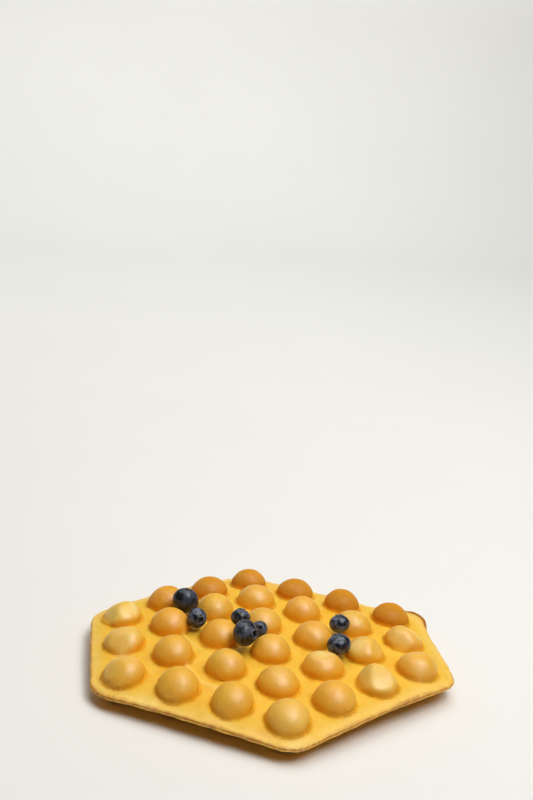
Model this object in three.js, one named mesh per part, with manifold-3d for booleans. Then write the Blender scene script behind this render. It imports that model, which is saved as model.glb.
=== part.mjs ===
// A hexagonal bubble waffle lying flat, with seven blueberries in the hollows between its bubbles.
// Millimetres, +Z up. The origin is the middle of its footprint, on the surface that it lies on.
import * as THREE from "three";
import { mergeGeometries, mergeVertices } from "three/addons/utils/BufferGeometryUtils.js";
import Module from "manifold-3d";

// The lattice of bubbles: columns run along Y, and each is set half a pitch from its neighbours.
const PITCH = 34;
const COLUMN_STEP = PITCH * Math.cos(Math.PI / 6);
const COLUMNS = [3, 4, 5, 6, 5, 4, 3];
const MIDDLE_COLUMN = (COLUMNS.length - 1) / 2;

// One bubble, measured from the middle of the sheet that it is baked into. Its sides are a multiple
// of six, so that they meet the corners of the six-sided cell round it.
const BUBBLE_RADIUS = 13.1;
const BUBBLE_RISE = 14;
const BUBBLE_DROP = 13;
const BUBBLE_SIDES = 18;
const BUBBLE_RINGS = 4;
const RADIUS_SPREAD = 0.03;
const RISE_SPREAD = 0.05;
const PLACE_SPREAD = 0.5;
const SEED = 30;

// Bubbles, by column and row, that rose further than the rest.
const TALLER = new Map([
  ["1,0", 2],
  ["2,0", 2],
  ["3,0", 2.2],
  ["1,1", 2.2],
  ["5,0", 1.4],
  ["6,0", 1],
  ["2,3", 1.5],
]);

const ROUND_TO = 1e-4;
const MERGE_WITHIN = 1e-3;

// The sheet of batter that joins the bubbles, and the thicker bead round its rim.
const SHEET_THICKNESS = 4;
const SIDE_MARGIN = 19.8; // from the outer bubbles' centres to the two straight sides
const SLANT_MARGIN = 17.9; // and to the four slanted ones
const OVERRUN = [3.7, 1.5, 2.5, 0, 0.7, 1.7]; // what ran out further, from the +X side round by +Y
const CORNER_RADIUS = 20;
const BEAD = [
  { inset: 3.4, height: 2 },
  { inset: 1.4, height: 2.4 },
  { inset: 0, height: 0.9 },
];

// The cooled waffle is domed a little, so its corner bubbles carry it, each on a small flat spot.
const MIDDLE_HEIGHT = 18.1;
const DOMING_X = 0.55e-3;
const DOMING_Y = 0.8e-3;
const DOMING_TWIST = 0.3e-3;

// It sags a little between its middle and one side, and one corner has curled up.
const SAG = { x: 18, y: -18, radius: 32, depth: 2.2 };
const CURL = { towards: 32, start: 101, end: 114.3, rise: 5.2 };

// The overrun moves the middle of the footprint away from the lattice's.
const FOOTPRINT_MIDDLE = { x: 1.85, y: 0.45 };

// Bubbles that sagged as their steam escaped. Each press pushes one side of a bubble flat: towards
// is the compass direction of the flattened side, up its angle above the sheet, and keep the share
// of the bubble's size that is left there.
const SAGGED = new Map([
  ["0,2", [{ towards: 200, up: 35, keep: 0.8 }, { towards: 310, up: 65, keep: 0.86 }]],
  ["0,1", [{ towards: 250, up: 45, keep: 0.87 }, { towards: 120, up: 70, keep: 0.92 }]],
  ["0,0", [{ towards: 80, up: 60, keep: 0.88 }, { towards: 200, up: 50, keep: 0.93 }]],
  ["4,1", [{ towards: 95, up: 80, keep: 0.86 }]],
  ["5,0", [{ towards: 190, up: 28, keep: 0.84 }, { towards: 20, up: 35, keep: 0.88 }]],
  ["5,1", [{ towards: 215, up: 50, keep: 0.92 }, { towards: 350, up: 30, keep: 0.9 }]],
  ["6,1", [{ towards: 225, up: 35, keep: 0.82 }, { towards: 350, up: 50, keep: 0.92 }]],
  ["6,0", [{ towards: 270, up: 75, keep: 0.94 }]],
]);

// Each berry's place over the sheet, its radius across, and where its crown points.
const BERRIES = [
  { x: -48.5, y: 32.4, radius: 8.5, towards: 70, up: 15 },
  { x: -42.6, y: 12.5, radius: 6.3, towards: 290, up: 12 },
  { x: -15.6, y: 11.5, radius: 6.2, towards: 75, up: 70 },
  { x: -15.9, y: -13.8, radius: 8.1, towards: 320, up: 12 },
  { x: -4.7, y: 1.3, radius: 5, towards: 262, up: 36 },
  { x: 47, y: 5.4, radius: 6.5, towards: 100, up: 68 },
  { x: 41.3, y: -20.2, radius: 7.5, towards: 120, up: 66 },
];
const BERRY_HEIGHT = 0.86; // crown to stem, as a share of the width
const BERRY_RINGS = 7;
const CROWN_LOBES = 5;
const BERRY_SIDES = 3 * CROWN_LOBES;
const GAP = 0.35; // between a berry and what it rests on

// The crown at a berry's top, as shares of the berry's radius.
const CROWN_RADIUS = 0.36;
const CROWN_LIFT = 0.1;
const CROWN_FLARE = 0.04;
const HOLLOW_RADIUS = 0.27;
const HOLLOW_DEPTH = 0.16;

const WAFFLE_COLOUR = 0xe9b352;
const BERRY_COLOUR = 0x30394d;

const degrees = THREE.MathUtils.degToRad;

// A row of even draws between -1 and 1 that is the same each time.
function* draws(seed) {
  let state = seed;
  while (true) {
    state = (state * 16807) % 2147483647;
    yield (state / 2147483647) * 2 - 1;
  }
}

function direction(towards, up) {
  return new THREE.Vector3(
    Math.cos(degrees(towards)) * Math.cos(degrees(up)),
    Math.sin(degrees(towards)) * Math.cos(degrees(up)),
    Math.sin(degrees(up)),
  );
}

function middleSurface(x, y) {
  const domed = MIDDLE_HEIGHT - DOMING_X * x * x - DOMING_Y * y * y - DOMING_TWIST * x * y;
  const sag = SAG.depth * Math.exp(-((x - SAG.x) ** 2 + (y - SAG.y) ** 2) / (2 * SAG.radius ** 2));
  const along = direction(CURL.towards, 0).dot(new THREE.Vector3(x, y, 0));
  const curl = Math.max(0, (along - CURL.start) / (CURL.end - CURL.start));
  return domed - sag + CURL.rise * curl * curl;
}

// Neighbouring cells work out the same points, and rounding them makes them equal.
function place(x, y, z) {
  return [x, y, z].map((value) => Math.round(value / ROUND_TO) * ROUND_TO);
}

// The sheet's six sides, each a line given by its outward direction and its distance from the middle.
const SIDES = [0, 60, 120, 180, 240, 300].map((towards, i) => {
  const straight = towards % 180 === 0;
  const lastRow = ((COLUMNS[MIDDLE_COLUMN] - 1) / 2) * PITCH * Math.cos(Math.PI / 6);
  const margin = straight ? MIDDLE_COLUMN * COLUMN_STEP + SIDE_MARGIN : lastRow + SLANT_MARGIN;
  return { outward: direction(towards, 0), distance: margin + OVERRUN[i] };
});

function crossing(a, b) {
  const turn = a.outward.x * b.outward.y - a.outward.y * b.outward.x;
  return new THREE.Vector3(
    (a.distance * b.outward.y - b.distance * a.outward.y) / turn,
    (b.distance * a.outward.x - a.distance * b.outward.x) / turn,
    0,
  );
}

// The corners' rounding circles are centred where two sides brought in by their radius cross.
const CORNERS = SIDES.map((side, i) => {
  const next = SIDES[(i + 1) % SIDES.length];
  const inward = ({ outward, distance }) => ({ outward, distance: distance - CORNER_RADIUS });
  return { centre: crossing(inward(side), inward(next)), sides: [side, next] };
});

// A point near the sheet's rim is brought onto the line that runs inset millimetres inside the rim.
function ontoRim(point, inset) {
  const corner = CORNERS.find(({ centre, sides }) =>
    sides.every(({ outward }) => {
      const along = new THREE.Vector3(-outward.y, outward.x, 0);
      const towardsCorner = sides[0].outward === outward ? 1 : -1;
      return point.clone().sub(centre).dot(along) * towardsCorner > 0;
    }),
  );
  if (corner) {
    const spoke = point.clone().sub(corner.centre).setLength(CORNER_RADIUS - inset);
    return corner.centre.clone().add(spoke);
  }
  const beyond = ({ outward, distance }) => point.dot(outward) - distance;
  const side = SIDES.reduce((a, b) => (beyond(a) > beyond(b) ? a : b));
  return point.clone().addScaledVector(side.outward, -beyond(side) - inset);
}

function makeBubbles() {
  const draw = draws(SEED);
  const spread = (amount) => amount * draw.next().value;
  return COLUMNS.flatMap((count, column) =>
    Array.from({ length: count }, (_, row) => ({
      x: (column - MIDDLE_COLUMN) * COLUMN_STEP,
      y: (row - (count - 1) / 2) * PITCH,
      shift: new THREE.Vector2(spread(PLACE_SPREAD), spread(PLACE_SPREAD)),
      radius: BUBBLE_RADIUS * (1 + spread(RADIUS_SPREAD)),
      rise: BUBBLE_RISE * (1 + spread(RISE_SPREAD)) + (TALLER.get(`${column},${row}`) ?? 0),
      presses: SAGGED.get(`${column},${row}`) ?? [],
    })),
  );
}

// The outline of the six-sided cell of sheet round a bubble: along each ray, the nearest of the
// lines halfway to its neighbours and the inner edge of the bead. Where two such lines meet at the
// bead, the nearest ray is moved into the corner.
function cellOutline(bubble, bubbles) {
  const centre = new THREE.Vector3(bubble.x, bubble.y, 0);
  const halfways = bubbles
    .map((other) => new THREE.Vector3(other.x, other.y, 0).sub(centre))
    .filter((gap) => gap.length() > 0 && gap.length() < 1.1 * PITCH)
    .map((gap) => ({ outward: gap.clone().normalize(), distance: gap.length() / 2, rim: false }));
  const rims = SIDES.map(({ outward, distance }) => ({
    outward,
    distance: distance - BEAD[0].inset - centre.dot(outward),
    rim: true,
  }));
  const exits = Array.from({ length: BUBBLE_SIDES }, (_, i) => {
    const ray = direction((360 * i) / BUBBLE_SIDES, 0);
    const reach = ({ outward, distance }) =>
      ray.dot(outward) > ROUND_TO ? distance / ray.dot(outward) : Infinity;
    const line = [...halfways, ...rims].reduce((a, b) => (reach(b) < reach(a) - ROUND_TO ? b : a));
    return { point: ray.multiplyScalar(reach(line)), line, rim: line.rim };
  });
  exits.forEach((exit, i) => {
    const next = exits[(i + 1) % exits.length];
    if (exit.line.rim === next.line.rim) return;
    const corner = crossing(exit.line, next.line);
    const nearer = corner.distanceTo(exit.point) < corner.distanceTo(next.point) ? exit : next;
    nearer.point = corner;
    nearer.rim = true;
  });
  return exits.map(({ point, rim }) => {
    const onSheet = point.add(centre);
    return { point: rim ? ontoRim(onSheet, BEAD[0].inset) : onSheet, rim };
  });
}

// One face of a cell, turned on a lathe from the bubble's crest to its foot and on to the cell's
// outline, which the last ring is then pulled out to.
function cellFace(bubble, outline, upward) {
  const { radius, rise, shift } = bubble;
  const height = upward ? rise : BUBBLE_DROP;
  const foot = Math.asin(SHEET_THICKNESS / 2 / height);
  const profile = Array.from({ length: BUBBLE_RINGS + 1 }, (_, ring) => {
    const angle = foot + (ring / BUBBLE_RINGS) * (Math.PI / 2 - foot);
    return new THREE.Vector2(radius * Math.cos(angle), height * Math.sin(angle));
  });
  profile[BUBBLE_RINGS].x = 0;
  profile.unshift(new THREE.Vector2(PITCH / 2, SHEET_THICKNESS / 2));
  const geometry = new THREE.LatheGeometry(profile, BUBBLE_SIDES, Math.PI / 2);
  geometry.rotateX(Math.PI / 2);
  const points = geometry.attributes.position;
  const point = new THREE.Vector3();
  for (let i = 0; i < points.count; i++) {
    point.fromBufferAttribute(points, i);
    const ring = i % profile.length;
    if (ring === 0) {
      const side = Math.round((Math.atan2(point.y, point.x) / (2 * Math.PI)) * BUBBLE_SIDES);
      point.copy(outline[(side + BUBBLE_SIDES) % BUBBLE_SIDES].point).setZ(SHEET_THICKNESS / 2);
    } else {
      if (upward && ring > 1) press(point, bubble);
      point.add(new THREE.Vector3(bubble.x + shift.x, bubble.y + shift.y, 0));
    }
    point.z *= upward ? 1 : -1;
    points.setXYZ(i, ...place(point.x, point.y, point.z));
  }
  return upward ? geometry : flipped(geometry);
}

// A sagged bubble's side is pushed in to a flat wherever it stands out past the press.
function press(point, { radius, rise, presses }) {
  for (const { towards, up, keep } of presses) {
    const outward = direction(towards, up);
    const reach = keep * Math.hypot(radius * Math.cos(degrees(up)), rise * Math.sin(degrees(up)));
    point.addScaledVector(outward, -Math.max(0, point.dot(outward) - reach));
  }
}

function flipped(geometry) {
  const order = geometry.index.array;
  for (let i = 0; i < order.length; i += 3) [order[i], order[i + 1]] = [order[i + 1], order[i]];
  return geometry;
}

// The bead is a strip wrapped round the rim, from the top of the sheet to its underside.
function beadGeometry(outlines) {
  const inner = outlines.flat().filter(({ rim }) => rim);
  const angleOf = ({ point }) => Math.atan2(point.y, point.x);
  const ordered = inner
    .sort((a, b) => angleOf(a) - angleOf(b))
    .filter((a, i, all) => i === 0 || a.point.distanceTo(all[i - 1].point) > MERGE_WITHIN);
  const lower = BEAD.toReversed().map(({ inset, height }) => ({ inset, height: -height }));
  const section = [...BEAD, ...lower];
  const geometry = new THREE.PlaneGeometry(1, 1, ordered.length, section.length - 1);
  const points = geometry.attributes.position;
  for (let i = 0; i < points.count; i++) {
    const around = i % (ordered.length + 1);
    const { inset, height } = section[Math.floor(i / (ordered.length + 1))];
    const point = ontoRim(ordered[around % ordered.length].point, inset);
    points.setXYZ(i, ...place(point.x, point.y, height));
  }
  return geometry;
}

const wasm = await Module();
wasm.setup();

function toSolid(geometry) {
  const merged = mergeVertices(bare(geometry), MERGE_WITHIN);
  return new wasm.Manifold(
    new wasm.Mesh({
      numProp: 3,
      vertProperties: merged.attributes.position.array,
      triVerts: new Uint32Array(merged.index.array),
    }),
  );
}

function bare(geometry) {
  return geometry.clone().deleteAttribute("normal").deleteAttribute("uv");
}

function toGeometry(solid) {
  const mesh = solid.getMesh();
  return new THREE.BufferGeometry()
    .setAttribute("position", new THREE.BufferAttribute(mesh.vertProperties, 3))
    .setIndex(new THREE.BufferAttribute(mesh.triVerts, 1));
}

// The cells' faces and the bead close round one solid. It is domed by moving its points, and the
// lowest bubbles are cut level at z = 0.
function waffleGeometry(bubbles) {
  const outlines = bubbles.map((bubble) => cellOutline(bubble, bubbles));
  const faces = bubbles.flatMap((bubble, i) => [
    cellFace(bubble, outlines[i], true),
    cellFace(bubble, outlines[i], false),
  ]);
  const open = mergeGeometries([...faces, beadGeometry(outlines)].map(bare));
  const shell = mergeVertices(open, MERGE_WITHIN);
  const points = shell.attributes.position;
  for (let i = 0; i < points.count; i++) {
    points.setZ(i, points.getZ(i) + middleSurface(points.getX(i), points.getY(i)));
  }
  const size = 4 * MIDDLE_COLUMN * COLUMN_STEP;
  const ground = new THREE.BoxGeometry(size, size, size).translate(0, 0, -size / 2);
  const level = toGeometry(toSolid(shell).subtract(toSolid(ground)));
  level.computeVertexNormals();
  return level;
}

// A berry is an oblate ball round its own Y axis, with a small hollow at the top that is ringed by
// the five pointed lobes of its crown.
function berryGeometry(radius) {
  const half = radius * BERRY_HEIGHT;
  const shoulder = Math.acos(CROWN_RADIUS);
  const profile = [];
  for (let ring = 0; ring <= BERRY_RINGS; ring++) {
    const angle = -Math.PI / 2 + (ring / BERRY_RINGS) * (shoulder + Math.PI / 2);
    profile.push(new THREE.Vector2(radius * Math.max(0, Math.cos(angle)), half * Math.sin(angle)));
  }
  profile[0].x = 0;
  const lip = profile.length;
  const neck = half * Math.sin(shoulder);
  profile.push(new THREE.Vector2(radius * CROWN_RADIUS, neck + radius * CROWN_LIFT));
  profile.push(new THREE.Vector2(radius * HOLLOW_RADIUS, neck - radius * CROWN_LIFT));
  profile.push(new THREE.Vector2(0, neck - radius * HOLLOW_DEPTH));
  const geometry = new THREE.LatheGeometry(profile, BERRY_SIDES);
  const points = geometry.attributes.position;
  for (let i = lip; i < points.count; i += profile.length) {
    const lobe = Math.cos(CROWN_LOBES * Math.atan2(points.getX(i), points.getZ(i)));
    const flare = 1 + (CROWN_FLARE / CROWN_RADIUS) * lobe;
    points.setX(i, points.getX(i) * flare);
    points.setY(i, points.getY(i) + (radius * CROWN_LIFT * lobe) / 2);
    points.setZ(i, points.getZ(i) * flare);
  }
  return geometry;
}

// A berry comes to rest on the sheet or against the highest bubble below it.
function restingHeight({ x, y, radius, up }, bubbles) {
  const below = radius * Math.hypot(Math.cos(degrees(up)), BERRY_HEIGHT * Math.sin(degrees(up)));
  const onSheet = middleSurface(x, y) + SHEET_THICKNESS / 2 + below + GAP;
  const onBubbles = bubbles.map((bubble) => {
    const away = Math.hypot(x - bubble.x, y - bubble.y) / (bubble.radius + radius + GAP);
    const over = (bubble.rise + radius + GAP) * Math.sqrt(Math.max(0, 1 - away * away));
    return middleSurface(bubble.x, bubble.y) + over;
  });
  return Math.max(onSheet, ...onBubbles);
}

const waffleMaterial = new THREE.MeshStandardMaterial({
  color: WAFFLE_COLOUR,
  roughness: 0.55,
  metalness: 0,
});
const berryMaterial = new THREE.MeshStandardMaterial({
  color: BERRY_COLOUR,
  roughness: 0.6,
  metalness: 0,
});

const bubbles = makeBubbles();
const part = new THREE.Group();

const waffle = new THREE.Mesh(waffleGeometry(bubbles), waffleMaterial);
waffle.name = "waffle";
part.add(waffle);

BERRIES.forEach((berry, i) => {
  const mesh = new THREE.Mesh(berryGeometry(berry.radius), berryMaterial.clone());
  mesh.name = `blueberry_${i + 1}`;
  mesh.position.set(berry.x, berry.y, restingHeight(berry, bubbles));
  mesh.quaternion.setFromUnitVectors(
    new THREE.Vector3(0, 1, 0),
    direction(berry.towards, berry.up),
  );
  part.add(mesh);
});
part.position.set(-FOOTPRINT_MIDDLE.x, -FOOTPRINT_MIDDLE.y, 0);

export default part;
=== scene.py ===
import math

import bmesh
import bpy
import numpy as np
from mathutils import Matrix, Vector, noise


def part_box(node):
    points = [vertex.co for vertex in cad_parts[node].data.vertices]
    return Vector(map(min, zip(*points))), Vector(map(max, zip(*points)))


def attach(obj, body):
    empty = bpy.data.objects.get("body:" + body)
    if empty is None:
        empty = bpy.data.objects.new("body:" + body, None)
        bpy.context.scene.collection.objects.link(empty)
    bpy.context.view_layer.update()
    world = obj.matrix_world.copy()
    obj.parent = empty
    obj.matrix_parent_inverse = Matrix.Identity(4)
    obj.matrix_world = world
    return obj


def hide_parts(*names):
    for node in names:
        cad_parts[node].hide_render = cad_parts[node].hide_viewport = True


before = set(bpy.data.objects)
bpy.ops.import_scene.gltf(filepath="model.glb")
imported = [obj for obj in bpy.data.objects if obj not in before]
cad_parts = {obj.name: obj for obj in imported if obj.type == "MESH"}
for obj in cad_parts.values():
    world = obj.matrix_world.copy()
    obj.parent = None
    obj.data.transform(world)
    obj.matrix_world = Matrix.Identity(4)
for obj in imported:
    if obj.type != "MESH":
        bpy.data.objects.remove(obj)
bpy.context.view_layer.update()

# ---------------------------------------------------------------------------------------------
# The waffle. Egg batter is baked between two hot plates of round hollows, so each hollow blows up
# into a bubble on both faces of a thin sheet, and what runs out past the last bubbles makes the
# rim. Sizes are in millimetres, with the middle of the lattice of bubbles at x = y = 0.
MM = 0.001
PITCH = 34.0
COLUMN_STEP = PITCH * math.cos(math.pi / 6)
COLUMNS = (3, 4, 5, 6, 5, 4, 3)
MIDDLE_COLUMN = 3
BUBBLE_RADIUS = 13.1
BUBBLE_RISE = 14.0
BUBBLE_DROP = 13.0
RADIUS_SPREAD = 0.03
RISE_SPREAD = 0.05
PLACE_SPREAD = 0.5
SEED = 30
TALLER = {  # bubbles, by column and row, that rose further than the rest, or less far
    (1, 0): 0.3, (2, 0): 0.3, (3, 0): 0.6, (1, 1): 1.6, (3, 1): -1.4, (5, 0): 1.4, (6, 0): 1.0,
    (2, 3): 1.5,
}
SET_BACK = {(3, 0): (0.4, 1.7), (2, 0): (0.2, 0.4), (1, 0): (0.2, 0.4)}  # bubbles that lie aside
SHEET_HALF = 2.0
SIDE_MARGIN = 19.8
SLANT_MARGIN = 17.9
OVERRUN = (3.7, 1.5, 2.5, 0.0, 0.7, 1.7)  # what ran out further, from the +X side round by +Y
CORNER_RADIUS = 20.0

# The cooled sheet is domed, sags between its middle and one side, and has one corner curled up.
MIDDLE_HEIGHT = 18.1
DOMING_X = 0.55e-3
DOMING_Y = 0.8e-3
DOMING_TWIST = 0.3e-3
SAG_MIDDLE = (18.0, -18.0)
SAG_RADIUS = 32.0
SAG_DEPTH = 2.2
CURL_TOWARDS = math.radians(32)
CURL_START = 101.0
CURL_END = 114.3
CURL_RISE = 5.2
FOOTPRINT_MIDDLE = (1.85, 0.45)

# Bubbles are turned in steps, a multiple of twelve so that six-sided cells meet at their corners.
STEPS = 72
DOME_RINGS = 20
FOOT_RINGS = 4
WEB_RINGS = 6
UNDER_DOME_RINGS = 7
UNDER_WEB_RINGS = 2
FOOT_FILLET = 0.5
FILLET_SPREAD = 0.3
FOOT_TUCK = 0.06  # how much narrower than a round one a bubble is at its foot
TUCKED = (0.5, 0.15)  # the shares of a bubble's height between which the tuck comes in
FOOT_WALL = 0.85  # the share of the fillet's height at which it leaves the bubble's wall
NEIGHBOURS = 1.1 * PITCH  # bubbles nearer than this share an edge of their cells
TOLERANCE = 1e-4  # lengths and cosines that differ by less count as the same
DISC_GAP = 0.01  # points of a flat disc nearer than this are its pole
SEAM_GAP = 2e-3  # points on the edges of cells nearer than this are joined

# The rim's section, from the web's edge over the top, past the seam left between the two plates, to
# the lip below: how far inside the outline, and how high above the middle of the sheet.
RIM_INSET = 3.4
RIM = (
    (2.7, 2.05), (2.0, 2.1), (1.3, 2.05), (0.8, 1.85), (0.45, 1.5), (0.4, 1.15), (0.6, 0.85),
    (0.4, 0.5), (0.1, 0.1), (-0.05, -0.4), (0.0, -0.9), (0.4, -1.35), (1.2, -1.65), (2.3, -1.85),
)
RIM_ROUNDING = 1.0  # how far the sheet's top falls towards the rim
RIM_ROUNDING_FROM = (-8.5, -1.0)  # where that begins and ends, past the outline

# Where the corner curled, the lip below stands out from under the rim, and it is painted dark brown
# there.
FLANGE_REACH = 1.3
FLANGE_FROM = math.radians(12)
FLANGE_TO = math.radians(44)
FLANGE_FADE = math.radians(3)
FLANGE_LONG_FADE = math.radians(12)
FLANGE_HEIGHTS = (0.9, 0.3)
FLANGE_INSETS = (2.4, 0.5)


def draws(seed):
    """Even draws between -1 and 1, the same each time."""
    state = seed
    while True:
        state = state * 16807 % 2147483647
        yield state / 2147483647 * 2 - 1


def unit(turn):
    return np.array((math.cos(turn), math.sin(turn)))


def smoothly(low, high, value):
    t = np.clip((value - low) / (high - low), 0, 1)
    return t * t * (3 - 2 * t)


bubble_draw = draws(SEED)
look_draw = draws(SEED + 1)
bubbles = []
for column, count in enumerate(COLUMNS):
    for row in range(count):
        middle = np.array(((column - MIDDLE_COLUMN) * COLUMN_STEP, (row - (count - 1) / 2) * PITCH))
        shift = PLACE_SPREAD * np.array((next(bubble_draw), next(bubble_draw)))
        shift += SET_BACK.get((column, row), (0, 0))
        radius = BUBBLE_RADIUS * (1 + RADIUS_SPREAD * next(bubble_draw))
        rise = BUBBLE_RISE * (1 + RISE_SPREAD * next(bubble_draw)) + TALLER.get((column, row), 0)
        bubbles.append({
            "key": (column, row), "middle": middle, "centre": middle + shift,
            "radius": radius, "rise": rise,
        })

LAST_ROW = (COLUMNS[MIDDLE_COLUMN] - 1) / 2 * PITCH * math.cos(math.pi / 6)
sides = []
for k, overrun in enumerate(OVERRUN):
    distance = MIDDLE_COLUMN * COLUMN_STEP + SIDE_MARGIN if k % 3 == 0 else LAST_ROW + SLANT_MARGIN
    sides.append((unit(math.radians(60 * k)), distance + overrun))


def crossing(a, b):
    """Where two lines cross, each given by its outward direction and its distance."""
    return np.linalg.solve(np.array((a[0], b[0])), np.array((a[1], b[1])))


corners = []
for k in range(6):
    pair = (sides[k], sides[(k + 1) % 6])
    corners.append((crossing(*((out, far - CORNER_RADIUS) for out, far in pair)), pair))


def onto_rim(point, inset):
    """A point near the rim, brought onto the line that runs inset inside it."""
    for centre, ((out_a, _), (out_b, _)) in corners:
        away = point - centre
        past_a = away @ (-out_a[1], out_a[0]) > 0
        past_b = away @ (-out_b[1], out_b[0]) < 0
        if past_a and past_b:
            return centre + away / np.linalg.norm(away) * (CORNER_RADIUS - inset)
    out, far = max(sides, key=lambda side: point @ side[0] - side[1])
    return point - out * (point @ out - far + inset)


def flange_share(x, y):
    turn = np.arctan2(y, x)
    return smoothly(FLANGE_FROM, FLANGE_FROM + FLANGE_FADE, turn) * smoothly(
        FLANGE_TO + FLANGE_LONG_FADE, FLANGE_TO, turn,
    )


def cell_outline(bubble):
    """The outline of the cell of sheet round a bubble, one point for each step."""
    lines = []
    for other in bubbles:
        gap = other["middle"] - bubble["middle"]
        length = np.linalg.norm(gap)
        if 0 < length < NEIGHBOURS:
            lines.append((gap / length, length / 2, False))
    for out, far in sides:
        lines.append((out, far - RIM_INSET - bubble["middle"] @ out, True))
    exits = []
    for i in range(STEPS):
        ray = unit(2 * math.pi * i / STEPS)
        reach, line = math.inf, None
        for candidate in lines:
            facing = ray @ candidate[0]
            if facing > TOLERANCE and candidate[1] / facing < reach - TOLERANCE:
                reach, line = candidate[1] / facing, candidate
        exits.append([ray * reach, line, line[2]])
    for i in range(STEPS):
        here, after = exits[i], exits[(i + 1) % STEPS]
        if here[1][2] != after[1][2]:
            corner = crossing(here[1][:2], after[1][:2])
            near = min((here, after), key=lambda end: np.linalg.norm(corner - end[0]))
            near[0], near[2] = corner, True
    points = [point + bubble["middle"] for point, _, _ in exits]
    return np.array([onto_rim(p, RIM_INSET) if exits[i][2] else p for i, p in enumerate(points)])


def turned_disc(rings):
    """A flat disc spun from a straight row of points, one unit apart, with its pole merged."""
    bm = bmesh.new()
    row = [bm.verts.new((ring, 0, 0)) for ring in range(rings + 1)]
    edges = [bm.edges.new(pair) for pair in zip(row, row[1:])]
    bmesh.ops.spin(
        bm, geom=row + edges, cent=(0, 0, 0), axis=(0, 0, 1), angle=2 * math.pi, steps=STEPS,
        use_merge=True,
    )
    bmesh.ops.remove_doubles(bm, verts=bm.verts, dist=DISC_GAP)
    disc = bpy.data.meshes.new("disc")
    bm.to_mesh(disc)
    bm.free()
    return disc


def wall_profile(radius, height, fillet, dome_rings):
    """How far out and how high each ring of a cell lies, from the crest to the fillet's foot."""
    wall_height = SHEET_HALF + FOOT_WALL * fillet
    foot = math.asin(wall_height / height)
    angles = np.linspace(math.pi / 2, foot, dome_rings)
    tuck = 1 - FOOT_TUCK * smoothly(*TUCKED, np.sin(angles))
    out, up = radius * np.cos(angles) * tuck, height * np.sin(angles)
    normal = math.atan2(math.sin(foot) / height, math.cos(foot) / radius)
    turns = np.linspace(normal, math.pi / 2, FOOT_RINGS + 1)[1:]
    hub = (out[-1] + fillet * math.cos(normal), up[-1] + fillet * math.sin(normal))
    out = np.concatenate((out, hub[0] - fillet * np.cos(turns)))
    up = np.concatenate((up, hub[1] - fillet * np.sin(turns)))
    return out, up


def coordinates(mesh, field="co"):
    flat = np.empty(len(mesh.vertices) * 3)
    mesh.vertices.foreach_get(field, flat)
    return flat.reshape(-1, 3)


def add_cell(bm, disc, bubble, outline, height, fillet, dome_rings, web_rings, side):
    """One cell's face, pulled from the flat disc: the bubble, its fillet and the web round it."""
    flat = coordinates(disc)
    ring = np.rint(np.hypot(flat[:, 0], flat[:, 1])).astype(int)
    step = np.rint(np.arctan2(flat[:, 1], flat[:, 0]) / (2 * math.pi) * STEPS).astype(int) % STEPS
    out, up = wall_profile(bubble["radius"], height, fillet, dome_rings)
    turn = 2 * math.pi * step / STEPS
    inner = np.minimum(ring, len(out) - 1)
    place = bubble["centre"] + out[inner, None] * np.stack((np.cos(turn), np.sin(turn)), 1)
    lift = up[inner]
    along = np.clip((ring - len(out) + 1) / web_rings, 0, 1)
    place += (outline[step] - place) * along[:, None]
    lift += (SHEET_HALF - lift) * along
    cell = disc.copy()
    cell.vertices.foreach_set("co", np.column_stack((place, side * lift)).ravel())
    bm.from_mesh(cell)
    bpy.data.meshes.remove(cell)


top_disc = turned_disc(DOME_RINGS + FOOT_RINGS + WEB_RINGS - 1)
under_disc = turned_disc(UNDER_DOME_RINGS + FOOT_RINGS + UNDER_WEB_RINGS - 1)
shell = bmesh.new()
for bubble in bubbles:
    outline = cell_outline(bubble)
    fillet = FOOT_FILLET * (1 + FILLET_SPREAD * next(look_draw))
    add_cell(shell, top_disc, bubble, outline, bubble["rise"], fillet, DOME_RINGS, WEB_RINGS, 1)
    add_cell(
        shell, under_disc, bubble, outline, BUBBLE_DROP, fillet, UNDER_DOME_RINGS, UNDER_WEB_RINGS, -1,
    )
bmesh.ops.remove_doubles(shell, verts=[v for v in shell.verts if v.is_boundary], dist=SEAM_GAP)

# The rim is drawn out of the web's top edge ring by ring, and closes on the underside's edge.
edge = [e for e in shell.edges if e.is_boundary and e.verts[0].co.z > 0]
for inset, height in RIM + ((RIM_INSET, -SHEET_HALF),):
    drawn = bmesh.ops.extrude_edge_only(shell, edges=edge)["geom"]
    edge = [g for g in drawn if isinstance(g, bmesh.types.BMEdge)]
    reach = FLANGE_REACH * smoothly(*FLANGE_HEIGHTS, height) * smoothly(*FLANGE_INSETS, inset)
    for vert in {v for e in edge for v in e.verts}:
        flange = reach * flange_share(vert.co.x, vert.co.y)
        vert.co = (*onto_rim(np.array(vert.co.xy), inset - flange), height)
bmesh.ops.remove_doubles(shell, verts=[v for v in shell.verts if v.is_boundary], dist=SEAM_GAP)
bmesh.ops.recalc_face_normals(shell, faces=shell.faces)
waffle_mesh = bpy.data.meshes.new("waffle_piece")
shell.to_mesh(waffle_mesh)
shell.free()
for disc in (top_disc, under_disc):
    bpy.data.meshes.remove(disc)


def roughly(points, size, seed):
    """Smooth noise between about -1 and 1 at each point, with lumps of the given size."""
    offset = Vector((seed * 17.3, seed * 5.1, seed * 9.7))
    return np.array([noise.noise(Vector(p) / size + offset) for p in points])


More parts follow.
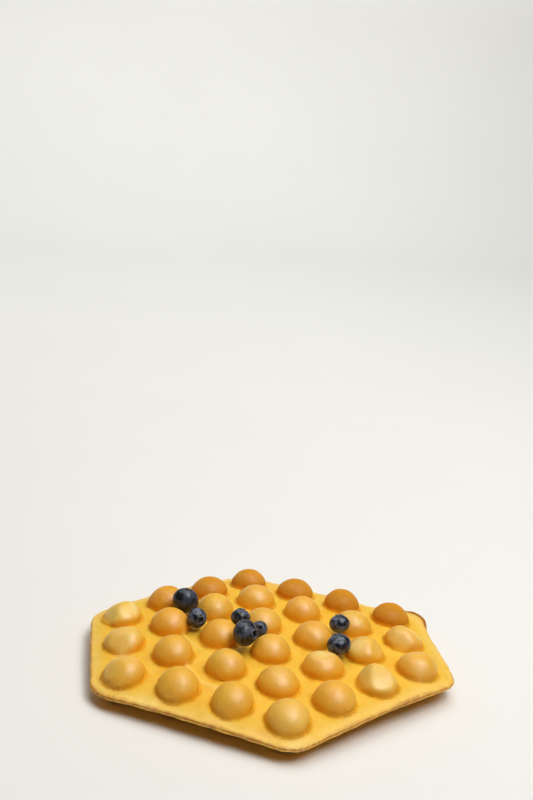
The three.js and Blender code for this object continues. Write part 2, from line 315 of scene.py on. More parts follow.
# Shares from 0 to 1 that say where on the skin a point lies: by its height above or below the middle of
# the sheet, its distance from its bubble's centre in radii, or its distance past the rim's outline. A
# pair gives where a share begins and where it is whole.
DOME_HEIGHTS = (SHEET_HALF + 1, 9.0)
FOOT_HEIGHT = SHEET_HALF + 3
FOOT_INSIDE = 0.1
FOOT_WIDTH = 0.6
FLANK_HEIGHTS = (10.0, 4.0)
FLANK_FROM = (0.55, 0.85)
FLANK_TO = (1.1, 1.0)
RIM_FROM = (-2.6, -0.6)
SEAM_HEIGHT = 0.9
SEAM_WIDTH = 0.5
SEAM_FROM = (-1.4, -0.7)
DARK_FLANGE_HEIGHTS = (1.3, 0.6)
UNDER_HEIGHTS = (-1.2, -1.9)

points = coordinates(waffle_mesh)
middles = np.array([b["middle"] for b in bubbles])
centres = np.array([b["centre"] for b in bubbles])
radii = np.array([b["radius"] for b in bubbles])
owner = np.argmin(np.linalg.norm(points[:, None, :2] - middles, axis=2), axis=1)
from_centre = points[:, :2] - centres[owner]
out = np.linalg.norm(from_centre, axis=1) / radii[owner]
facing = np.degrees(np.arctan2(from_centre[:, 1], from_centre[:, 0]))
height = np.abs(points[:, 2])
on_top = points[:, 2] > 0
under = smoothly(*UNDER_HEIGHTS, points[:, 2])
dome = smoothly(*DOME_HEIGHTS, height)
# The foot share marks the dark line at each bubble's foot, partly browning and partly painted shade in
# the crease.
past_foot = out * radii[owner] - radii[owner] + FOOT_INSIDE
foot = np.exp(-((past_foot / FOOT_WIDTH) ** 2)) * (height < FOOT_HEIGHT)
# The flank share marks the low sides of each bubble, painted deeper orange: partly the bake, partly
# painted shade and bounced light.
flank = smoothly(*FLANK_HEIGHTS, height) * smoothly(*FLANK_FROM, out) * smoothly(*FLANK_TO, out)
rim_far = np.max([points[:, :2] @ side - far for side, far in sides], axis=0)
for centre, ((out_a, _), (out_b, _)) in corners:
    away = points[:, :2] - centre
    inside = (away @ (-out_a[1], out_a[0]) > 0) & (away @ (-out_b[1], out_b[0]) < 0)
    rim_far[inside] = np.linalg.norm(away[inside], axis=1) - CORNER_RADIUS
rim = smoothly(*RIM_FROM, rim_far)
seam = np.exp(-(((points[:, 2] - SEAM_HEIGHT) / SEAM_WIDTH) ** 2)) * smoothly(*SEAM_FROM, rim_far)
# This share marks the curled corner's lip, which is painted dark brown.
dark_flange = flange_share(points[:, 0], points[:, 1]) * smoothly(*DARK_FLANGE_HEIGHTS, points[:, 2]) * rim
web = (1 - dome) * (1 - rim)

# No bubble is quite round: each leans and bulges its own way. Some sagged as their steam escaped:
# each press is the compass direction and the angle above the sheet of a side that fell in, the
# share of the bubble's size that is left there, and how wide the rounding at its edge is.
SAGGED = {
    (0, 2): ((200, 38, 0.84, 1.6), (310, 65, 0.87, 1.4), (120, 55, 0.95, 1.6)),
    (0, 1): ((250, 45, 0.92, 1.8), (110, 75, 0.93, 1.8)),
    (0, 0): ((80, 65, 0.91, 1.8), (200, 50, 0.95, 1.8)),
    (4, 1): ((95, 80, 0.86, 0.7),),
    (5, 0): ((275, 60, 0.83, 1.0), (190, 35, 0.88, 1.5), (30, 40, 0.93, 1.5)),
    (5, 1): ((330, 42, 0.91, 0.9), (200, 60, 0.97, 2.0)),
    (6, 1): ((240, 33, 0.9, 1.1), (20, 55, 0.96, 2.0)),
    (6, 0): ((120, 70, 0.95, 2.0),),
}
SAG_DISH = 0.1  # how much deeper than flat the fallen side lies
SAG_HEIGHTS = (SHEET_HALF + 0.3, SHEET_HALF + 2.5)  # the foot of a bubble stays where it is
FALLEN_DEPTHS = (0.2, 2.0)
RIDGE_WIDTH = 0.9
BENT_HEIGHTS = (SHEET_HALF, 8.0)
BULGE = 0.022  # how far a side bulges, as a share of the bubble's radius
BULGE_WAVES = (2, 3, 4)
LEAN = 0.5

fallen = np.zeros(len(points))
ridge = np.zeros(len(points))
for i, bubble in enumerate(bubbles):
    mine = owner == i
    local = points[mine] - (*bubble["centre"], 0)
    share = smoothly(*BENT_HEIGHTS, height[mine])
    turn = np.arctan2(local[:, 1], local[:, 0])
    bulge = sum(
        BULGE / waves * next(look_draw) * np.cos(waves * (turn + math.pi * next(look_draw)))
        for waves in BULGE_WAVES
    )
    lean = LEAN * np.array((next(look_draw), next(look_draw)))
    local[:, :2] *= 1 + (bulge * share * np.minimum(out[mine] * 2, 1))[:, None]
    local[:, :2] += lean * share[:, None]
    up_mine = on_top[mine]
    for towards, up, keep, softness in SAGGED.get(bubble["key"], ()):
        flat, tilt = unit(math.radians(towards)), math.radians(up)
        outward = np.array((*(flat * math.cos(tilt)), math.sin(tilt)))
        reach = keep * math.hypot(bubble["radius"] * math.cos(tilt), bubble["rise"] * math.sin(tilt))
        past = local @ outward - reach
        soft = softness * np.logaddexp(0, past / softness)
        soft *= smoothly(*SAG_HEIGHTS, height[mine]) * up_mine
        local -= outward * (soft * (1 + SAG_DISH))[:, None]
        fallen[mine] = np.maximum(fallen[mine], smoothly(*FALLEN_DEPTHS, soft))
        ridge[mine] = np.maximum(ridge[mine], np.exp(-((past / RIDGE_WIDTH) ** 2)) * up_mine * share)
    points[mine] = local + (*bubble["centre"], 0)
waffle_mesh.vertices.foreach_set("co", points.ravel())
waffle_mesh.update()

# Lumps, in the skin as a whole, in the web and on the rim: how high and wide they are, and their seed.
LUMPS = ((0.25, 13.0, 1), (0.13, 4.5, 2))
WEB_LUMPS = ((0.6, 7.5, 5), (0.25, 3.5, 6))
RIM_LUMPS = ((0.5, 7.0, 4), (0.25, 2.8, 3))


def lumpy(points, lumps):
    return sum(rise * roughly(points, size, seed) for rise, size, seed in lumps)


lumps = lumpy(points, LUMPS) + web * lumpy(points, WEB_LUMPS) + rim * lumpy(points, RIM_LUMPS)
points += coordinates(waffle_mesh, "normal") * lumps[:, None]
points[:, 2] -= RIM_ROUNDING * smoothly(*RIM_ROUNDING_FROM, rim_far) * on_top * (1 - dome)

# Wrinkles of the web, drawn between bubbles as it cooled: the places that one runs through, and how
# deep and wide it is. A ridge is thrown up to the right of the way that it runs.
WRINKLES = (
    (((-49.5, 9.5), (-45.5, 0.0), (-42.1, -6.8), (-35.2, -15.7)), 0.7, 1.1),
    (((-49.0, -26.5), (-46.0, -33.3), (-43.9, -39.5), (-36.2, -47.9)), 0.8, 1.7),
)
CREST_SHARE = 0.8  # the height of the ridge beside a wrinkle, as a share of its depth


def beside_line(points, line):
    """How far each point lies from a line of straight stretches, and how far to its right."""
    nearest = np.full(len(points), np.inf)
    right = np.zeros(len(points))
    for start, end in zip(np.array(line), np.array(line)[1:]):
        run = end - start
        share = np.clip((points - start) @ run / (run @ run), 0, 1)
        away = points - start - share[:, None] * run
        gap = np.linalg.norm(away, axis=1)
        closer = gap < nearest
        nearest[closer] = gap[closer]
        right[closer] = (away @ (run[1], -run[0]) / np.linalg.norm(run))[closer]
    return nearest, right


thrown_up = np.zeros(len(points))
for line, depth, width in WRINKLES:
    gap, right = beside_line(points[:, :2], line)
    furrow = np.exp(-((gap / width) ** 2)) * on_top * (1 - dome)
    crest = np.exp(-(((gap - 2 * width) / width) ** 2)) * (right > 0) * on_top * (1 - dome)
    points[:, 2] -= depth * (furrow - CREST_SHARE * crest)
    thrown_up = np.maximum(thrown_up, crest)

# The whole is domed, and its lowest bubbles are pressed level where they stand.
LEVEL_SOFTNESS = 0.12
x, y = points[:, 0], points[:, 1]
sag = (x - SAG_MIDDLE[0]) ** 2 + (y - SAG_MIDDLE[1]) ** 2
curl = np.maximum(0, points[:, :2] @ unit(CURL_TOWARDS) - CURL_START) / (CURL_END - CURL_START)
points[:, 2] += MIDDLE_HEIGHT - DOMING_X * x**2 - DOMING_Y * y**2 - DOMING_TWIST * x * y
points[:, 2] += CURL_RISE * curl**2 - SAG_DEPTH * np.exp(-sag / (2 * SAG_RADIUS**2))
points[:, 2] = LEVEL_SOFTNESS * np.logaddexp(0, points[:, 2] / LEVEL_SOFTNESS)
points[:, 2] -= points[:, 2].min()

# How the bake coloured it, with painted light mixed in. Some bubbles are browner than the rest, those
# at the back partly as painted shade, and some paler; the underside is brown; where the web was thin or
# the skin slack it stayed pale; and ridges, wrinkle crests, fallen sides and places near the rim are
# painted
# paler as painted highlights and sheen: the place, its size and how pale.
COMMON_TOAST = 0.5
TOAST_SPREAD = 0.14
BROWNER_AND_SHADED_SHARE = 0.6
PALER_SHARE = 0.5
MOST_TOAST = 1.4
UNDER_TOAST = 0.7
TOAST_HEIGHTS = (SHEET_HALF - 0.5, 4.5)
# The bubbles at the back are browner partly as painted shade.
BROWNER_AND_SHADED = {(2, 4): 1.0, (1, 3): 0.9, (6, 2): 1.0, (3, 5): 1.0, (4, 4): 1.2, (5, 3): 0.9, (1, 2): 0.35}
PALER = {(0, 2): 0.8, (0, 1): 0.3, (0, 0): 0.2, (3, 0): 0.5, (5, 0): 0.6, (6, 1): 0.3}
# Fallen sides are painted pale, partly for their slack skin and partly as painted highlight on the
# facets.
PALE_AND_HIGHLIT_FACETS = {(4, 1): 0.9, (6, 1): 0.5, (5, 0): 0.15, (0, 2): 0.3, (5, 1): 0.5}
PALE_AND_HIGHLIT_FACET = 0.05
# Painted highlight along the ridges beside fallen sides.
RIDGE_HIGHLIGHT = 0.3
PALE_DOME = 0.4
# Painted highlight along wrinkle crests.
CREST_HIGHLIGHT = 0.5
# Painted sheen, with some paleness, on the web near the rim, and where it comes in past the outline.
EDGE_PALE_AND_SHEEN = 0.5
EDGE_PALE_AND_SHEEN_FROM = (-9.0, -3.0)
# Places painted pale, partly pale batter and partly painted highlight and sheen.
PALE_AND_HIGHLIT_PLACES = (
    (-82.3, -56.8, 4.5, 1.0), (-75.0, -61.4, 5.0, 0.6), (1.9, -101.0, 7.0, 0.7),
    (84.0, -46.5, 6.0, 0.6), (-88.5, -13.0, 4.5, 1.0),
)
browning = np.array([next(look_draw) for _ in bubbles])
browner_and_shaded = np.array([BROWNER_AND_SHADED.get(b["key"], 0.0) for b in bubbles])
paler = np.array([PALER.get(b["key"], 0.0) for b in bubbles])
toasting_and_shade = COMMON_TOAST + TOAST_SPREAD * browning + BROWNER_AND_SHADED_SHARE * browner_and_shaded - PALER_SHARE * paler
toast_and_shade = smoothly(*TOAST_HEIGHTS, height) * np.clip(toasting_and_shade, 0, MOST_TOAST)[owner]
toast_and_shade += UNDER_TOAST * under
facet = np.array([PALE_AND_HIGHLIT_FACETS.get(b["key"], PALE_AND_HIGHLIT_FACET) for b in bubbles])
# The pale share carries painted highlights and sheen as well as pale batter.
pale_and_highlight = RIDGE_HIGHLIGHT * ridge + facet[owner] * fallen + PALE_DOME * paler[owner] * dome
pale_and_highlight += CREST_HIGHLIGHT * thrown_up
for x, y, size, strength in PALE_AND_HIGHLIT_PLACES:
    gap = np.hypot(points[:, 0] - x, points[:, 1] - y)
    pale_and_highlight += strength * np.exp(-((gap / size) ** 2)) * on_top
pale_and_highlight += EDGE_PALE_AND_SHEEN * smoothly(*EDGE_PALE_AND_SHEEN_FROM, rim_far) * on_top * (1 - dome)

# Small pits in the skin low on some bubbles, painted dark as painted shade inside them: the bubble, and
# the side that they are on. They lie in a band at the foot that fades to both ends, with its turn in
# degrees.
PITTED = {(1, 1): 262, (6, 0): 285, (4, 0): 300, (0, 0): 255}
PITS_OUT = 0.97
PITS_WIDTH = 0.08
PITS_TURN = 50
pitted = np.zeros(len(points))
for i, bubble in enumerate(bubbles):
    if bubble["key"] in PITTED:
        turn = (facing - PITTED[bubble["key"]] + 180) % 360 - 180
        band = np.exp(-(((out - PITS_OUT) / PITS_WIDTH) ** 2)) * np.exp(-((turn / PITS_TURN) ** 4))
        pitted = np.maximum(pitted, band * (owner == i) * on_top)

# Rough brown crusts on the rim: the place, how far it reaches each way and how brown it is.
CRUSTS = ((77.0, -60.5, 13.0, 1.0), (-97.5, -52.5, 4.5, 0.8), (30.0, -86.0, 9.0, 0.4))
CRUST_FROM = (-2.8, -1.2)
crust = np.zeros(len(points))
for x, y, size, strength in CRUSTS:
    gap = np.hypot(points[:, 0] - x, points[:, 1] - y)
    spread = strength * np.exp(-((gap / size) ** 4))
    crust = np.maximum(crust, spread * smoothly(*CRUST_FROM, rim_far))

# The bubbles shine where the batter's fat came through, less at their feet and on their crests,
# which lay against the hot plate.
WEB_GLOSS = 0.2
GLOSS_FROM = (4.0, 9.0)
GLOSS_TO = (16.0, 11.0)
shine = smoothly(*GLOSS_FROM, height) * smoothly(*GLOSS_TO, height) * on_top
gloss = WEB_GLOSS + (1 - WEB_GLOSS) * shine

for name, values in {
    "toast_and_shade": toast_and_shade, "pale_and_highlight": np.clip(pale_and_highlight, 0, 1), "foot": foot, "flank": flank, "rim": rim,
    "seam": seam, "dark_flange": dark_flange, "crust": crust, "pitted": pitted, "gloss": gloss,
}.items():
    layer = waffle_mesh.attributes.new(name, "FLOAT", "POINT")
    layer.data.foreach_set("value", values.astype(np.float32))
points[:, :2] -= FOOTPRINT_MIDDLE
waffle_mesh.vertices.foreach_set("co", (points * MM).ravel())
for polygon in waffle_mesh.polygons:
    polygon.use_smooth = True


class Signal:
    """A shader socket. Sums with it add their own Math nodes."""

    def __init__(self, finish, socket):
        self.finish = finish
        self.socket = socket

    def math(self, operation, a, b):
        return self.finish.node("Math", {"operation": operation}, {0: a, 1: b})

    def __add__(self, other):
        return self.math("ADD", self, other)

    def __sub__(self, other):
        return self.math("SUBTRACT", self, other)

    def __rsub__(self, other):
        return self.math("SUBTRACT", other, self)

    def __mul__(self, other):
        return self.math("MULTIPLY", self, other)

    __radd__ = __add__
    __rmul__ = __mul__


class Finish:
    """A material and the one way in which its nodes are made."""

    def __init__(self, name):
        self.material = bpy.data.materials.new(name)
        self.material.use_nodes = True
        self.tree = self.material.node_tree
        self.tree.nodes.clear()

    def node(self, kind, settings, inputs, out=0):
        made = self.tree.nodes.new("ShaderNode" + kind)
        for setting, value in settings.items():
            setattr(made, setting, value)
        for socket, value in inputs.items():
            if isinstance(value, Signal):
                self.tree.links.new(value.socket, made.inputs[socket])
            else:
                made.inputs[socket].default_value = value
        return Signal(self, made.outputs[out]) if made.outputs else None

    def painted(self, attribute):
        return self.node("Attribute", {"attribute_name": attribute}, {}, "Fac")

    def moved(self, shift):
        place = self.node("TexCoord", {}, {}, "Object")
        return self.node("Mapping", {}, {"Vector": place, "Location": (shift, shift, shift)})

    def mottle(self, size, detail=2.0, roughness=0.5, shift=0.0):
        """Noise about 0.5, with lumps of the given size in metres."""
        values = {"Vector": self.moved(shift), "Scale": 1 / size, "Detail": detail}
        return self.node("TexNoise", {}, values | {"Roughness": roughness}, "Fac")

    def dots(self, spacing, size, shift=0.0):
        """Scattered round dots, 1 in the middle of each, with their spacing and size in metres."""
        values = {"Vector": self.moved(shift), "Scale": 1 / spacing}
        gap = self.node("TexVoronoi", {}, values, "Distance")
        return 1 - self.between(gap, 0.5 * size / spacing, size / spacing)

    def between(self, value, low, high):
        """A smooth step from 0 at low to 1 at high."""
        settings = {"interpolation_type": "SMOOTHSTEP"}
        return self.node("MapRange", settings, {"Value": value, "From Min": low, "From Max": high})

    def mix(self, a, b, share):
        return self.node("Mix", {"data_type": "RGBA"}, {0: share, 6: a, 7: b}, 2)

    def surface(self, inputs):
        shader = self.node("BsdfPrincipled", {}, inputs)
        self.node("OutputMaterial", {}, {"Surface": shader})
        return self.material


# The skin: bright yellow batter in the web, toasted tan on the bubbles, painted deeper orange low on
# them and a dark line at their feet, both partly painted shade, and paler in places, partly painted
# highlights. The number beside a colour is the share of it that covers the ones before, where it is
# strongest.
WEB_COLOUR = (0.84, 0.51, 0.042, 1)
DEEP_COLOUR, DEEP_SHARE = (0.80, 0.38, 0.012, 1), 0.55
TOAST_COLOUR = (0.87, 0.42, 0.022, 1)
# Deeper orange low on the bubbles: partly the bake, partly painted shade and bounced light.
FLANK_BAKE_AND_SHADE_COLOUR, FLANK_BAKE_AND_SHADE_SHARE = (0.83, 0.37, 0.010, 1), 0.75
BROWN_COLOUR, BROWN_SHARE, SPECKLE_SHARE = (0.50, 0.17, 0.010, 1), 0.65, 0.22
# Pale batter, and the colour of painted highlights and sheen.
PALE_AND_HIGHLIGHT_COLOUR = (0.95, 0.68, 0.19, 1)
# The dark line at the foot: partly browning, partly painted shade in the crease.
FOOT_SHADE_COLOUR, FOOT_SHADE_SHARE = (0.42, 0.165, 0.003, 1), 0.7
LIP_COLOUR, LIP_SHARE = (0.72, 0.36, 0.09, 1), 0.8
SEAM_COLOUR, SEAM_SHARE = (0.45, 0.155, 0.012, 1), 0.8
# The dark brown of the curled corner's lip.
DARK_FLANGE_COLOUR, DARK_FLANGE_SHARE = (0.32, 0.11, 0.008, 1), 0.9
CRUST_COLOUR, CRUST_SHARE = (0.50, 0.21, 0.045, 1), 0.8
# The dark of pits and pinholes is painted shade inside them.
PIT_SHADE_COLOUR, PIT_SHADE_SHARE, PINHOLE_SHADE_SHARE = (0.42, 0.17, 0.01, 1), 0.8, 0.7
PORE_RELIEF = 0.55

skin = Finish("baked_batter")
patches = skin.mottle(size=0.011, detail=3.0)
freckles = skin.mottle(size=0.0016, detail=2.0, roughness=0.6, shift=0.4)
colour = skin.mix(WEB_COLOUR, DEEP_COLOUR, skin.between(patches, 0.45, 0.75) * DEEP_SHARE)
toasted = skin.between(skin.painted("toast_and_shade") + (patches - 0.5) * 0.5, 0.05, 0.75)
colour = skin.mix(colour, TOAST_COLOUR, toasted)
# Low sides of the bubbles: partly the bake, partly painted shade and bounced light.
colour = skin.mix(colour, FLANK_BAKE_AND_SHADE_COLOUR, skin.painted("flank") * FLANK_BAKE_AND_SHADE_SHARE)
# Browning from the bake, and on the bubbles at the back partly painted shade.
browned_and_shaded = skin.between(skin.painted("toast_and_shade") + (freckles - 0.5) * 0.25, 0.75, 1.15)
colour = skin.mix(colour, BROWN_COLOUR, browned_and_shaded * BROWN_SHARE)
# Pale batter mixed with painted highlights and sheen.
colour = skin.mix(colour, PALE_AND_HIGHLIGHT_COLOUR, skin.painted("pale_and_highlight") * skin.between(patches, 0.2, 0.6))
# The dark line at each bubble's foot: partly browning, partly painted shade in the crease.
broken_foot = skin.mottle(size=0.006, detail=2.0, roughness=0.5, shift=0.7)
foot_shade = skin.painted("foot") * skin.between(broken_foot, 0.3, 0.6)
colour = skin.mix(colour, FOOT_SHADE_COLOUR, foot_shade * FOOT_SHADE_SHARE)
broken_rim = skin.mottle(size=0.004, detail=3.0, roughness=0.6, shift=0.2)
lip = skin.painted("rim") * skin.between(broken_rim, 0.35, 0.65)
colour = skin.mix(colour, LIP_COLOUR, lip * LIP_SHARE)
broken_seam = skin.mottle(size=0.003, detail=3.0, roughness=0.7, shift=0.9)
seamed = skin.painted("seam") * skin.between(broken_seam, 0.38, 0.6)
colour = skin.mix(colour, SEAM_COLOUR, seamed * SEAM_SHARE)
# The curled corner's lip is painted dark brown.
colour = skin.mix(colour, DARK_FLANGE_COLOUR, skin.painted("dark_flange") * DARK_FLANGE_SHARE)
broken_crust = skin.mottle(size=0.0025, detail=3.0, roughness=0.6, shift=0.1)
crusty = skin.painted("crust") * skin.between(broken_crust, 0.3, 0.6)
colour = skin.mix(colour, CRUST_COLOUR, crusty * CRUST_SHARE)
specks = skin.mottle(size=0.0008, detail=2.0, roughness=0.6, shift=0.8)
speckled = skin.between(specks, 0.5, 0.75)
colour = skin.mix(colour, BROWN_COLOUR, speckled * SPECKLE_SHARE)
# Pits and pinholes are dented only by bumps and painted dark as painted shade inside them.
pits = skin.dots(spacing=0.0022, size=0.0006) * skin.painted("pitted")
pinholes = skin.dots(spacing=0.009, size=0.0004, shift=0.6)
colour = skin.mix(colour, PIT_SHADE_COLOUR, pits * PIT_SHADE_SHARE + pinholes * PINHOLE_SHADE_SHARE)
pores = skin.mottle(size=0.0011, detail=3.0, roughness=0.65, shift=0.3)
skin_relief = pores * PORE_RELIEF - pits - pinholes
dull = browned_and_shaded + skin.painted("foot") + skin.painted("dark_flange")
bumps = skin.node("Bump", {}, {"Strength": 0.8, "Distance": 0.0004, "Height": skin_relief})
skin_material = skin.surface({
    "Base Color": colour,
    "Roughness": 0.5 + (pores - 0.5) * 0.2 + dull * 0.3,
    "Specular IOR Level": 0.15,
    "Coat Weight": skin.painted("gloss") - dull * 0.8,
    "Coat Roughness": 0.47,
    "Coat IOR": 1.8,
    "Normal": bumps,
    "Subsurface Weight": 0.3,
    "Subsurface Radius": (1.0, 0.35, 0.08),
    "Subsurface Scale": 0.003,
})
waffle_mesh.materials.append(skin_material)
waffle_piece = bpy.data.objects.new("baked_waffle", waffle_mesh)
bpy.context.scene.collection.objects.link(waffle_piece)
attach(waffle_piece, "root")
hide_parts("waffle")

# ---------------------------------------------------------------------------------------------
# The blueberries. Each is a slightly flattened ball with the dry five-pointed crown of its flower
# round a small hollow, and a pale wax bloom that is rubbed off in places. They only rest here.

# For each, its radius in millimetres, the compass direction of its crown, that one's angle above level
# in degrees, and how much of its bloom is left.
BERRIES = (
    (8.5, 70, 15, 0.35),
    (6.3, 290, 12, 1.0),
    (6.2, 75, 70, 0.9),
    (8.1, 320, 12, 0.6),
    (5.0, 262, 36, 0.6),
    (6.5, 100, 68, 1.1),
    (7.5, 120, 66, 1.1),
)
BERRY_HEIGHT = 0.86
CROWN_RADIUS = 0.36
CROWN_LIFT = 0.07
CROWN_OFFSET = 0.04  # how far the crown moves the middle of the berry's box, in radii
HOLLOW_RADIUS = 0.27
HOLLOW_DEPTH = 0.2
LIP_WIDTH = 0.05
BERRY_STEPS = 60
BODY_RINGS = 30
POLE_GAP = 1e-5
STEM_DENT = (0.02, 0.006)
LOBES = 5
LOBE_DRIFT = 0.35
CROWN_LOBES = 0.07
HOLLOW_LOBES = 0.24
LOBE_RISE = 0.03
BERRY_UNEVENNESS = 0.018

BARE_COLOUR = (0.004, 0.005, 0.009, 1)
BLOOM_COLOUR, BLOOM_SHARE = (0.14, 0.17, 0.25, 1), 0.85
CROWN_COLOUR = (0.10, 0.105, 0.12, 1)
HOLLOW_COLOUR = (0.003, 0.003, 0.004, 1)


def berry_profile():
    """The outline of half a berry of radius 1, from its stem end to the floor of its hollow."""
    shoulder = math.acos(CROWN_RADIUS)
    line = [
        (math.cos(a), BERRY_HEIGHT * math.sin(a))
        for a in np.linspace(-math.pi / 2, shoulder, BODY_RINGS)
    ]
    neck = BERRY_HEIGHT * math.sin(shoulder)
    line[0] = (0, line[0][1] + STEM_DENT[0])
    line[1] = (line[1][0], line[1][1] + STEM_DENT[1])
    line += [
        (CROWN_RADIUS + 0.005, neck + 0.35 * CROWN_LIFT),
        (CROWN_RADIUS + 0.012, neck + 0.7 * CROWN_LIFT),
        (CROWN_RADIUS + 0.005, neck + CROWN_LIFT),
        (CROWN_RADIUS - LIP_WIDTH / 2, neck + 1.08 * CROWN_LIFT),
        (CROWN_RADIUS - LIP_WIDTH, neck + 0.95 * CROWN_LIFT),
        (HOLLOW_RADIUS + 0.02, neck + 0.3 * CROWN_LIFT),
        (HOLLOW_RADIUS, neck - 0.4 * CROWN_LIFT),
        (HOLLOW_RADIUS * 0.92, neck - 0.7 * HOLLOW_DEPTH),
        (HOLLOW_RADIUS * 0.7, neck - HOLLOW_DEPTH),
        (HOLLOW_RADIUS * 0.4, neck - HOLLOW_DEPTH * 1.05),
        (0, neck - HOLLOW_DEPTH * 1.02),
    ]
    return line, neck


bloom = Finish("berry_skin")
rubbed = bloom.mottle(size=0.0045, detail=3.0, roughness=0.6)
dust = bloom.mottle(size=0.0011, detail=3.0, roughness=0.6, shift=0.5)
waxy = bloom.between(rubbed + (dust - 0.5) * 0.35, 0.4, 0.62) * bloom.painted("dusty")
colour = bloom.mix(BARE_COLOUR, BLOOM_COLOUR, waxy * BLOOM_SHARE)
colour = bloom.mix(colour, CROWN_COLOUR, bloom.painted("crown"))
colour = bloom.mix(colour, HOLLOW_COLOUR, bloom.painted("hollow"))
berry_bumps = bloom.node("Bump", {}, {"Strength": 0.2, "Distance": 0.0003, "Height": dust})
bloom_material = bloom.surface({
    "Base Color": colour,
    "Roughness": 0.3 + waxy * 0.25,
    "Normal": berry_bumps,
})

berry_draw = draws(SEED + 7)
for number, (radius, towards, up, dusty) in enumerate(BERRIES, 1):
    line, neck = berry_profile()
    bm = bmesh.new()
    row = [bm.verts.new((reach, 0, level)) for reach, level in line]
    edges = [bm.edges.new(pair) for pair in zip(row, row[1:])]
    bmesh.ops.spin(
        bm, geom=row + edges, cent=(0, 0, 0), axis=(0, 0, 1), angle=2 * math.pi,
        steps=BERRY_STEPS, use_merge=True,
    )
    bmesh.ops.remove_doubles(bm, verts=bm.verts, dist=POLE_GAP)
    bmesh.ops.recalc_face_normals(bm, faces=bm.faces)
    mesh = bpy.data.meshes.new("berry")
    bm.to_mesh(mesh)
    bm.free()
    shape = coordinates(mesh)
    turn = np.arctan2(shape[:, 1], shape[:, 0])
    away = np.hypot(shape[:, 0], shape[:, 1])
    crown = smoothly(neck, neck + 0.6 * CROWN_LIFT, shape[:, 2]) * (away > HOLLOW_RADIUS)
    hollow = smoothly(HOLLOW_RADIUS + 0.04, HOLLOW_RADIUS - 0.02, away) * (shape[:, 2] > 0)
    bloomed = np.full(len(shape), dusty)
    lobe = np.cos(LOBES * turn + next(berry_draw))
    lobe += LOBE_DRIFT * np.cos(2 * turn + 3 * next(berry_draw))
    shape[:, :2] *= 1 + (CROWN_LOBES * crown * lobe + HOLLOW_LOBES * hollow * lobe)[:, None]
    shape[:, 2] += LOBE_RISE * crown * lobe
    uneven = roughly(shape, 0.9, number) + 0.5 * roughly(shape, 0.4, number + 9)
    shape *= 1 + BERRY_UNEVENNESS * uneven[:, None]
    tilt = math.radians(up)
    aim = Vector((0, 0, 1)).rotation_difference(
        Vector((*(unit(math.radians(towards)) * math.cos(tilt)), math.sin(tilt)))
    )
    low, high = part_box(f"blueberry_{number}")
    middle = (low + high) / 2 - aim @ Vector((0, 0, CROWN_OFFSET * radius * MM))
    spin = Matrix.Rotation(2 * math.pi * next(berry_draw), 4, "Z")
    mesh.vertices.foreach_set("co", shape.ravel())
    mesh.transform(
        Matrix.Translation(middle) @ aim.to_matrix().to_4x4() @ spin @ Matrix.Scale(radius * MM, 4)
    )
    for name, values in {"crown": crown, "hollow": hollow, "dusty": bloomed}.items():
        layer = mesh.attributes.new(name, "FLOAT", "POINT")
        layer.data.foreach_set("value", values.astype(np.float32))
    for polygon in mesh.polygons:
        polygon.use_smooth = True
    mesh.materials.append(bloom_material)
    berry = bpy.data.objects.new(f"berry_{number}", mesh)
    bpy.context.scene.collection.objects.link(berry)
    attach(berry, "root")
    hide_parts(f"blueberry_{number}")

# ---------------------------------------------------------------------------------------------
# The ground that the waffle lies on: a wide sheet of pale matt paper, level under the waffle and
# curved up behind it, so that no edge shows.
PAPER_FRONT = -1.6
PAPER_BACK = 1.6
PAPER_WIDTH = 5.0
SWEEP_RADIUS = 0.5
SWEEP_STEPS = 24
PAPER_RISE = 0.62
PAPER_COLOUR = (0.84, 0.83, 0.80, 1)
PAPER_SHADE_COLOUR = (0.82, 0.81, 0.78, 1)

bm = bmesh.new()
line = [(PAPER_FRONT, 0), (PAPER_BACK, 0)]
line += [
    (PAPER_BACK + SWEEP_RADIUS * math.sin(a), SWEEP_RADIUS * (1 - math.cos(a)))
    for a in np.linspace(0, math.pi / 2, SWEEP_STEPS)[1:]
]
line.append((PAPER_BACK + SWEEP_RADIUS, PAPER_RISE))
row = [bm.verts.new((-PAPER_WIDTH / 2, y, z)) for y, z in line]
edges = [bm.edges.new(pair) for pair in zip(row, row[1:])]
drawn = bmesh.ops.extrude_edge_only(bm, edges=edges)["geom"]
bmesh.ops.translate(
    bm, verts=[g for g in drawn if isinstance(g, bmesh.types.BMVert)], vec=(PAPER_WIDTH, 0, 0),
)
bmesh.ops.recalc_face_normals(bm, faces=bm.faces)
paper_mesh = bpy.data.meshes.new("paper")
bm.to_mesh(paper_mesh)
bm.free()
for polygon in paper_mesh.polygons:
    polygon.use_smooth = True
paper = Finish("pale_paper")
shaded = paper.between(paper.mottle(size=0.3, detail=2.0), 0.3, 0.7) * 0.5
paper_mesh.materials.append(paper.surface({
    "Base Color": paper.mix(PAPER_COLOUR, PAPER_SHADE_COLOUR, shaded),
    "Roughness": 0.8,
    "Specular IOR Level": 0.1,
}))
sweep = bpy.data.objects.new("paper_sweep", paper_mesh)
bpy.context.scene.collection.objects.link(sweep)

# ---------------------------------------------------------------------------------------------
# The light: a bright soft box in front on the right, large weaker ones overhead and on the right, a
# weak warm one on the left, and one that only lights the paper behind, in a dim room.
WARM_WHITE = (1.0, 0.99, 0.97)
WHITE = (1.0, 0.995, 0.98)
AMBER = (1.0, 0.62, 0.24)
COOL_WHITE = (0.97, 1.0, 0.98)
ROOM_COLOUR = (1.0, 0.9, 0.75, 1)
ROOM_STRENGTH = 0.008


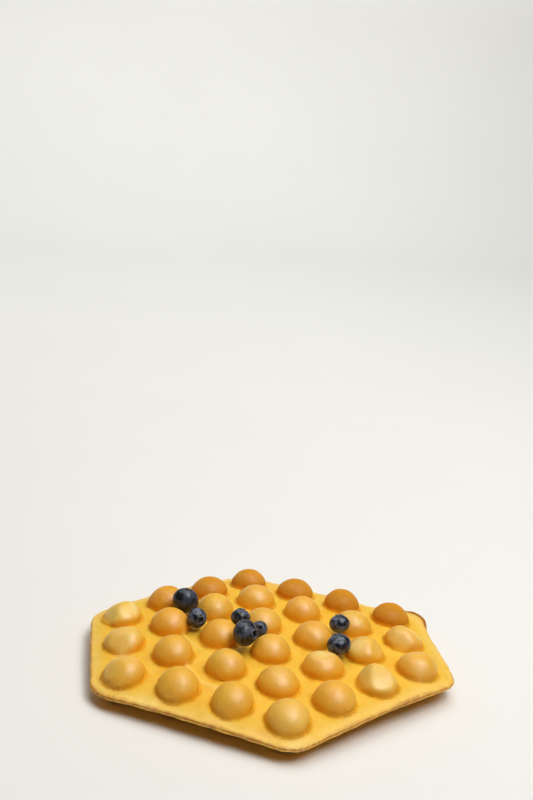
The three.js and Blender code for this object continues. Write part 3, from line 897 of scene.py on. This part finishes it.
def soft_box(name, place, target, width, depth, watts, colour):
    """A flat soft light of that width and depth in metres, turned to its target."""
    lamp = bpy.data.lights.new(name, "AREA")
    lamp.shape = "RECTANGLE"
    lamp.size, lamp.size_y = width, depth
    lamp.energy = watts
    lamp.color = colour
    box = bpy.data.objects.new(name, lamp)
    box.location = place
    box.rotation_euler = (Vector(target) - Vector(place)).to_track_quat("-Z", "Y").to_euler()
    bpy.context.scene.collection.objects.link(box)


soft_box("key_box", (0.42, -0.57, 1.33), (0, 0, 0), 0.72, 0.72, 12.4, WARM_WHITE)
soft_box("overhead_box", (0.15, 0.16, 1.5), (0.1, 0, 0), 1.2, 0.9, 10.0, WHITE)
soft_box("side_box", (0.8, 0, 1.25), (0, 0, 0), 1.1, 1.1, 2.2, WARM_WHITE)
soft_box("fill_box", (-1.1, -0.2, 0.9), (0, 0, 0), 1.0, 1.0, 0.85, AMBER)
soft_box("paper_box", (0, 1.2, 1.6), (0, 2.1, 0.35), 3.0, 0.8, 28, COOL_WHITE)
world = bpy.data.worlds.new("dim_room")
world.use_nodes = True
backdrop = world.node_tree.nodes["Background"]
backdrop.inputs["Color"].default_value = ROOM_COLOUR
backdrop.inputs["Strength"].default_value = ROOM_STRENGTH
bpy.context.scene.world = world
bpy.context.scene.view_settings.view_transform = "Standard"

# ---------------------------------------------------------------------------------------------
# The camera stands low and a little left of the middle, looks slightly down past the waffle, and is
# rolled a few degrees. It has a 50 mm lens, as on a full-frame camera.
CAMERA_PLACE = (-0.11635, -0.61205, 0.3562)
CAMERA_TURN = math.radians(-9.533)
CAMERA_DOWN = math.radians(16.339)
CAMERA_ROLL = math.radians(4.506)

camera_data = bpy.data.cameras.new("camera")
camera_data.lens = 50
camera_data.sensor_width = 36
camera = bpy.data.objects.new("camera", camera_data)
camera.matrix_world = (
    Matrix.Translation(CAMERA_PLACE)
    @ Matrix.Rotation(CAMERA_TURN, 4, "Z")
    @ Matrix.Rotation(math.pi / 2 - CAMERA_DOWN, 4, "X")
    @ Matrix.Rotation(CAMERA_ROLL, 4, "Z")
)
bpy.context.scene.collection.objects.link(camera)
bpy.context.scene.camera = camera
